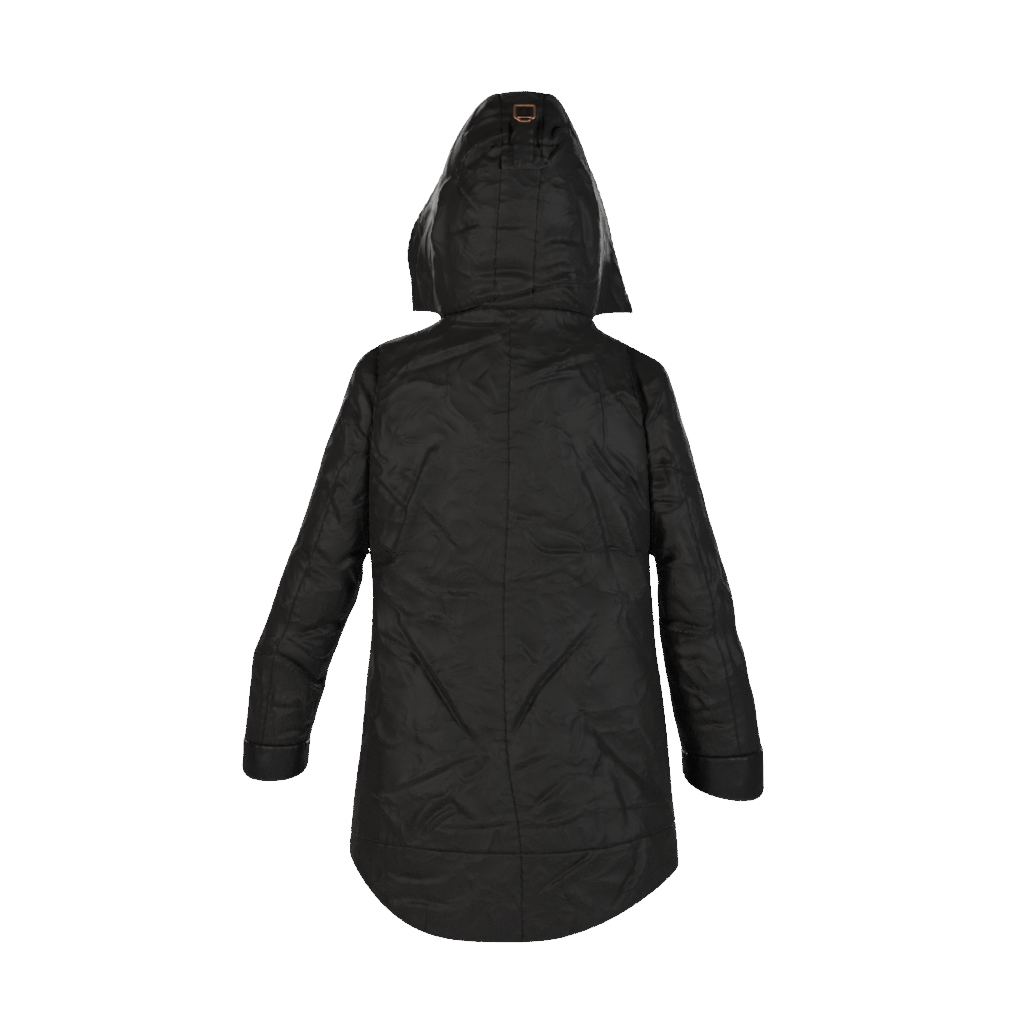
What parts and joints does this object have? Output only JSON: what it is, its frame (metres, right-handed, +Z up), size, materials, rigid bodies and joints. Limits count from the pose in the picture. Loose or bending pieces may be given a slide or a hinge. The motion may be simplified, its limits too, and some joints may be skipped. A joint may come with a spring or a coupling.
{
  "type": "hooded parka",
  "caption": "Black mid-length parka with its hood up, a dropped curved back hem with a deep band, plain cuffs and a small metal buckle on the back of the hood, filled out as worn.",
  "frame": {"origin": "middle of the neck, level with the tops of the shoulders, where the wearer's shoulders hold the coat", "axes": "+Z up, the longest extent; the front of the coat faces -Y, the shortest extent; the wearer's left is +X"},
  "size_m": [0.715, 0.3043, 1.1504],
  "materials": {
    "shell": "tight matt twill with a soft sheen, near black",
    "cuff": "smoother plain weave, near black",
    "metal": "polished rose gold plating"
  },
  "bodies": {
    "root": {"back_left": "shell", "back_right": "shell", "front_left": "shell", "front_right": "shell", "placket": "shell", "hem_back_left": "shell", "hem_back_right": "shell", "hem_front_left": "shell", "hem_front_right": "shell", "sleeve_left_back": "shell", "sleeve_left_front": "shell", "sleeve_right_back": "shell", "sleeve_right_front": "shell", "cuff_left": "cuff", "cuff_right": "cuff", "collar": "shell", "hood_centre": "shell", "hood_left": "shell", "hood_right": "shell", "hood_strap": "cuff", "strap_keeper": "cuff", "strap_tab": "cuff", "strap_buckle": "metal"}
  },
  "joints": []
}
